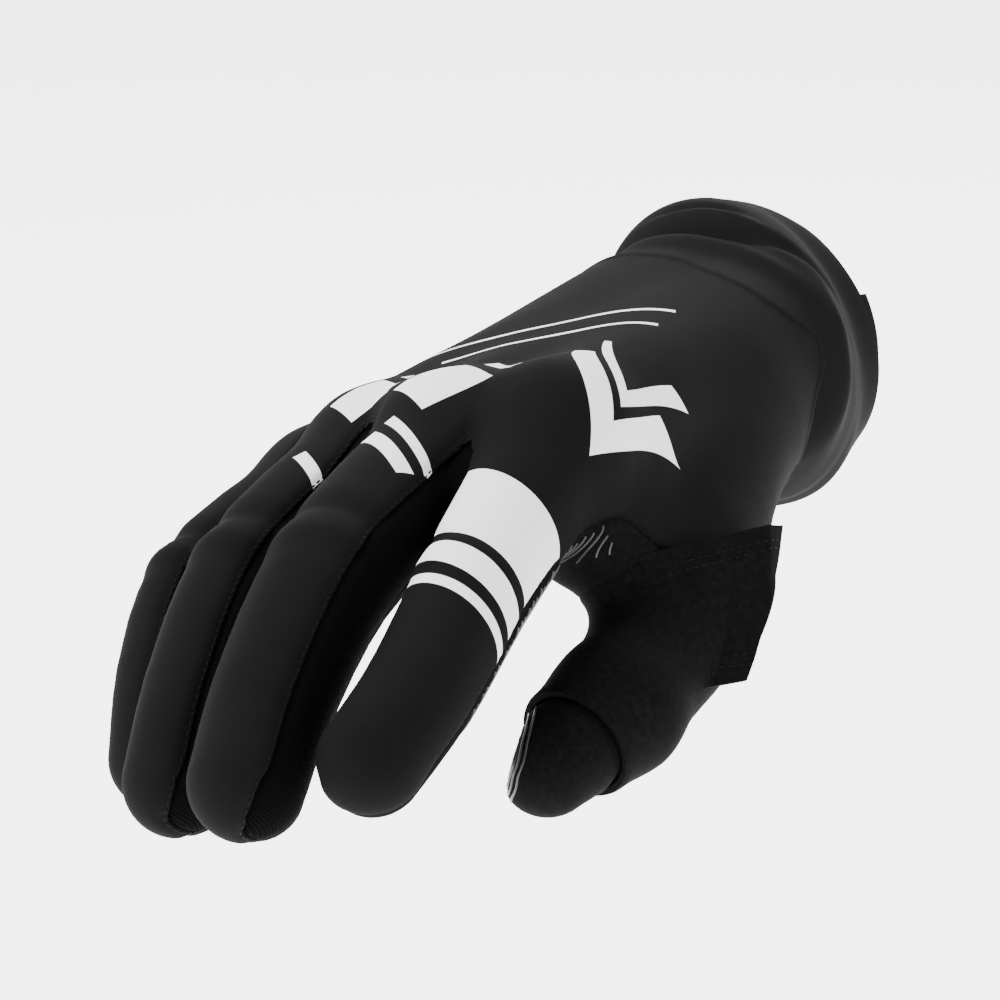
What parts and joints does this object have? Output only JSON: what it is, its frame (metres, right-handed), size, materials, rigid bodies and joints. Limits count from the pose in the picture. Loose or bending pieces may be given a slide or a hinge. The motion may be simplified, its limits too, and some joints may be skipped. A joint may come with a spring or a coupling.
{
  "type": "motocross glove",
  "caption": "Right-hand motocross glove that keeps the form of a hand, with a stretch back, ribbed strips between the fingers, a leather thumb panel and a stretch cuff.",
  "frame": {"origin": "middle of the cuff's open rim, where the wrist goes in", "axes": "+Y out of the cuff along the forearm, so the fingers point along -Y; +X towards the thumb; +Z out of the back of the hand"},
  "size_m": [0.1098, 0.2258, 0.0911],
  "materials": {
    "stretch_fabric": "matte black four-way stretch twill with a white print",
    "palm_leather": "matte black synthetic suede",
    "rib_knit": "matte black fine rib knit",
    "cuff_fabric": "smooth black stretch cloth bonded to thin foam",
    "tab_fabric": "doubled black tape",
    "thread": "black polyester thread with a slight sheen",
    "silicone": "glossy black silicone print"
  },
  "bodies": {
    "root": {"back_panel": "stretch_fabric", "palm_panel": "palm_leather", "fourchette_ring_little": "rib_knit", "fourchette_middle_ring": "rib_knit", "fourchette_index_middle": "rib_knit", "thumb_panel": "palm_leather", "thumb_tip": "palm_leather", "cuff": "cuff_fabric", "pull_tab": "tab_fabric"}
  },
  "joints": []
}
